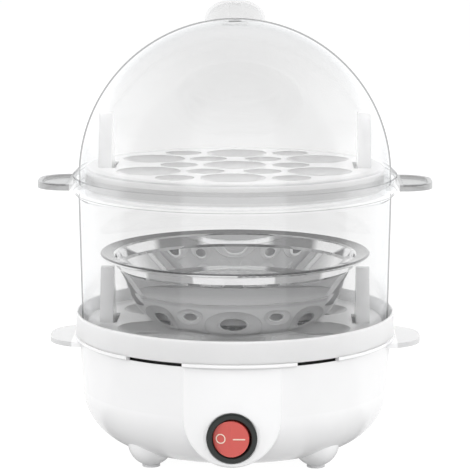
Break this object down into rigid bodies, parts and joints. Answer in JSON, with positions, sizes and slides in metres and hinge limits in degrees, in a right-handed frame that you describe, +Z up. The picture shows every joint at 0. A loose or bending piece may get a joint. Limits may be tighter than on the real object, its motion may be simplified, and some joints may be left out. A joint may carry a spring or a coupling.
{
  "type": "egg boiler",
  "caption": "Countertop egg boiler: bowl-shaped base with a rocker switch and water dish, clear tier and dome over egg trays, and a steel bowl.",
  "frame": {"origin": "on the table, under the middle of the base", "axes": "+Z up, the switch faces -Y, +X to the right of someone who faces the switch"},
  "size_m": [0.1872, 0.1542, 0.2155],
  "materials": {
    "housing_white": "glossy moulded plastic",
    "collar_white": "satin moulded plastic",
    "tray_plastic": "satin moulded plastic",
    "clear_plastic": "clear moulded plastic",
    "knob_plastic": "clear moulded plastic",
    "mirror_steel": "polished spun steel",
    "dish_steel": "spun steel",
    "aluminium": "die cast",
    "zinc_steel": "zinc plated",
    "rocker_red": "glossy moulded plastic",
    "switch_black": "satin moulded plastic",
    "foot_rubber": "soft moulded pad",
    "gland_rubber": "soft moulded sleeve",
    "seal_silicone": "moulded silicone",
    "brass": "stamped",
    "block_plastic": "moulded",
    "ceramic_white": "moulded",
    "lead_red": "sleeved wire",
    "lead_white": "sleeved wire",
    "lead_blue": "sleeved wire"
  },
  "bodies": {
    "base": {"base_housing": "housing_white", "foot_pads": "foot_rubber", "housing_screws": "zinc_steel", "collar_ring": "collar_white", "plate_seal": "seal_silicone", "heating_plate": "dish_steel", "plate_clips": "zinc_steel", "clip_screws": "zinc_steel", "heat_spreader": "aluminium", "heater_element": "zinc_steel", "thermostat": "ceramic_white", "thermostat_bracket": "zinc_steel", "thermostat_nuts": "zinc_steel", "thermal_fuse": "zinc_steel", "fuse_clip": "zinc_steel", "switch_body": "switch_black", "switch_terminals": "brass", "cord_gland": "gland_rubber", "terminal_block": "block_plastic", "terminal_screws": "brass", "live_lead": "lead_red", "switched_lead": "lead_red", "fuse_lead": "lead_white", "element_lead": "lead_white", "neutral_lead": "lead_blue"},
    "lower_tray": {"lower_egg_tray": "tray_plastic"},
    "bowl": {"steel_bowl": "mirror_steel"},
    "tier": {"middle_tier": "clear_plastic"},
    "upper_tray": {"upper_egg_tray": "tray_plastic"},
    "lid": {"lid_dome": "clear_plastic", "lid_knob": "knob_plastic", "knob_retainer": "knob_plastic"},
    "rocker": {"rocker_button": "rocker_red"}
  },
  "joints": [
    {"name": "lower_tray_lift", "type": "slide", "parent": "base", "child": "lower_tray", "axis": [0, 0, 1], "range_m": [0, 0.02]},
    {"name": "bowl_lift", "type": "slide", "parent": "lower_tray", "child": "bowl", "axis": [0, 0, 1], "range_m": [0, 0.03]},
    {"name": "tier_lift", "type": "slide", "parent": "bowl", "child": "tier", "axis": [0, 0, 1], "range_m": [0, 0.045]},
    {"name": "upper_tray_lift", "type": "slide", "parent": "tier", "child": "upper_tray", "axis": [0, 0, 1], "range_m": [0, 0.015]},
    {"name": "lid_lift", "type": "slide", "parent": "upper_tray", "child": "lid", "axis": [0, 0, 1], "range_m": [0, 0.045]},
    {"name": "rocker_tilt", "type": "hinge", "parent": "base", "child": "rocker", "pos_m": [0, -0.0726, 0.0227], "axis": [0, 0, 1], "range_deg": [0, 16]}
  ]
}
